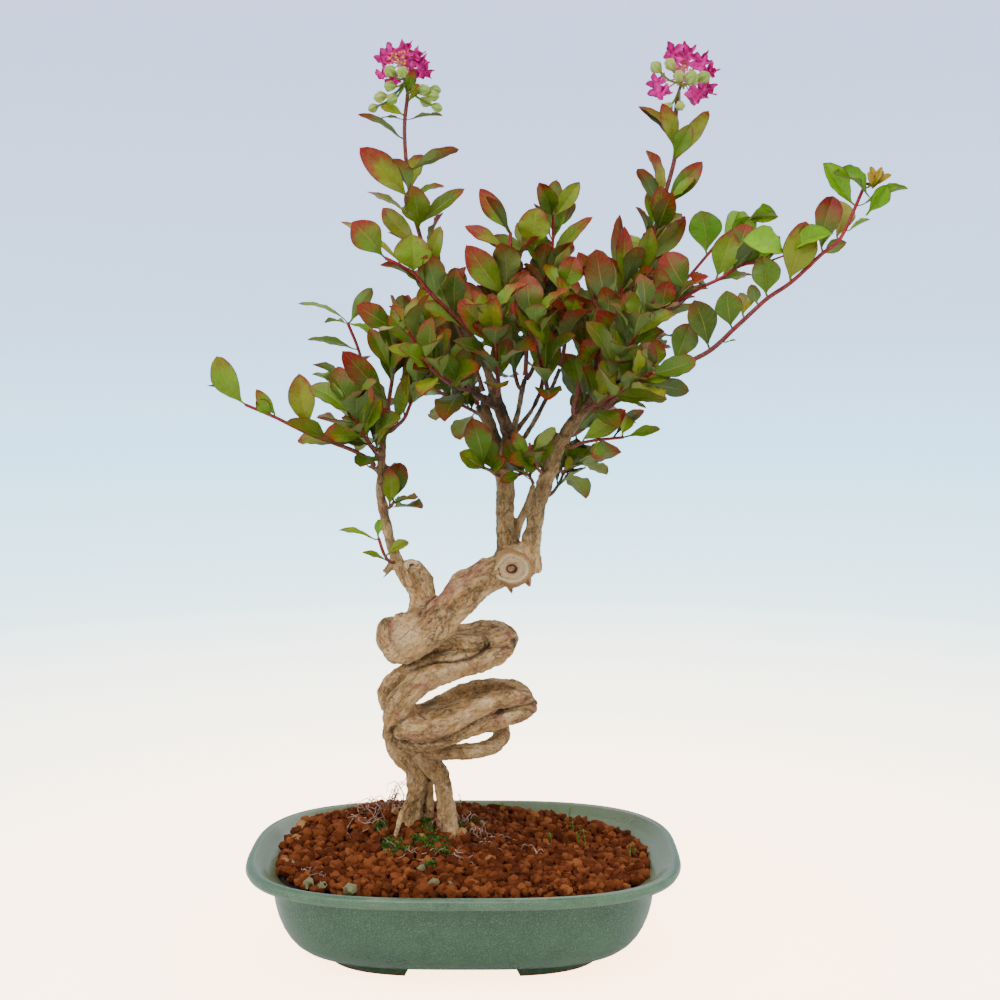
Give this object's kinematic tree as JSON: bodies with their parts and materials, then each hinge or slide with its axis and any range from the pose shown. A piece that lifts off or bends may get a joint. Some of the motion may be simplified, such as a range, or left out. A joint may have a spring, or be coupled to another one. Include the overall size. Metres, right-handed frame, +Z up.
{
  "type": "crepe myrtle bonsai",
  "caption": "Small flowering bonsai with a coiled, grown-together trunk, leafy shoots and two magenta flower heads, standing in clay soil in a low glazed oval pot on feet.",
  "frame": {"origin": "on the surface that the pot stands on, under the middle of the whole plant's box", "axes": "+Z up, +X to the viewer's right along the pot's length, +Y away from the viewer"},
  "size_m": [0.3908, 0.1854, 0.5436],
  "materials": {
    "pot_glaze": "sea-green speckled glaze on stoneware, bare clay underneath",
    "soil_granules": "red-brown fired clay granules with moss, matte",
    "drain_mesh": "black plastic mesh",
    "bark": "smooth tan bark with grey-green and pink patches, matte",
    "leaves": "yellow-green leaves with red edges and tips, satin",
    "petals": "crinkled magenta petals, matte",
    "buds": "pale green round buds, satin"
  },
  "bodies": {
    "root": {"pot": "pot_glaze", "soil": "soil_granules", "drain_mesh_left": "drain_mesh", "drain_mesh_right": "drain_mesh", "trunk": "bark", "shoot_far_left": "leaves", "shoot_up_left": "leaves", "shoot_mid_left": "leaves", "shoot_thin_left": "leaves", "shoot_right_of_left": "leaves", "shoot_front_left": "leaves", "shoot_back_left": "leaves", "shoot_basal": "leaves", "shoot_bend_left": "leaves", "shoot_flower_left": "leaves", "shoot_centre_top": "leaves", "shoot_centre_mid": "leaves", "shoot_centre_back": "leaves", "shoot_centre_right": "leaves", "shoot_centre_front": "leaves", "shoot_mid_front": "leaves", "shoot_right_inner": "leaves", "shoot_right_upper": "leaves", "shoot_right_red": "leaves", "shoot_right_side": "leaves", "shoot_right_far": "leaves", "shoot_flower_right": "leaves", "shoot_low_right": "leaves", "shoot_under_right": "leaves", "shoot_back_right": "leaves", "shoot_back_right_high": "leaves", "shoot_back_right_low": "leaves", "shoot_front_right": "leaves", "shoot_back_centre": "leaves", "shoot_back_centre_left": "leaves", "shoot_back_left_high": "leaves", "shoot_back_mid": "leaves", "shoot_inner_left": "leaves", "shoot_inner_front_left": "leaves", "shoot_back_twig_right": "leaves", "shoot_low_back": "leaves", "shoot_low_mid_left": "leaves", "shoot_low_mid_right": "leaves", "shoot_low_stem": "leaves", "shoot_left_spur": "leaves", "shoot_low_back_right": "leaves", "shoot_side_low": "leaves", "shoot_right_tuft": "leaves", "flower_petals_left": "petals", "flower_buds_left": "buds", "flower_petals_right": "petals", "flower_buds_right": "buds"}
  },
  "joints": []
}
